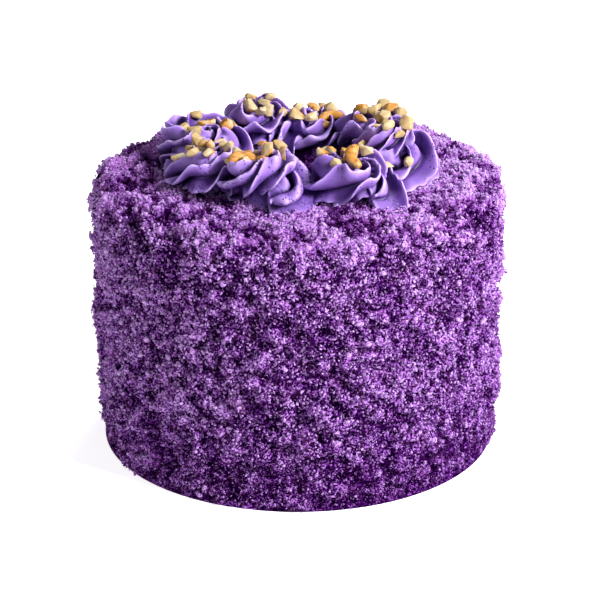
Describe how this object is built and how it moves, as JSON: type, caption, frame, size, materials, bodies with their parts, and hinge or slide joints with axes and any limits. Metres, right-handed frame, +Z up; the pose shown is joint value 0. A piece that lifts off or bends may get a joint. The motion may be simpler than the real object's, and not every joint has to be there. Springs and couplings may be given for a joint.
{
  "type": "ube cake",
  "caption": "Tall round cake coated in purple crumbs, with a ring of piped violet buttercream rosettes strewn with chopped nuts on top.",
  "frame": {"origin": "middle of the cake's flat underside, on the surface that it stands on", "axes": "+Z up through the middle of the cake, -Y to the front seen in the picture, +X to the right of the picture"},
  "size_m": [0.1722, 0.1723, 0.1418],
  "materials": {
    "crumb_coat": "rough purple cake crumbs",
    "buttercream": "smooth satin violet buttercream",
    "chopped_nuts": "chopped roasted cashews, cream with golden toasted sides"
  },
  "bodies": {
    "root": {"cake": "crumb_coat", "rosette_front_left": "buttercream", "rosette_front_right": "buttercream", "rosette_right": "buttercream", "rosette_back_right": "buttercream", "rosette_back": "buttercream", "rosette_back_left": "buttercream", "rosette_left": "buttercream", "rosette_left_front": "buttercream"}
  },
  "joints": []
}
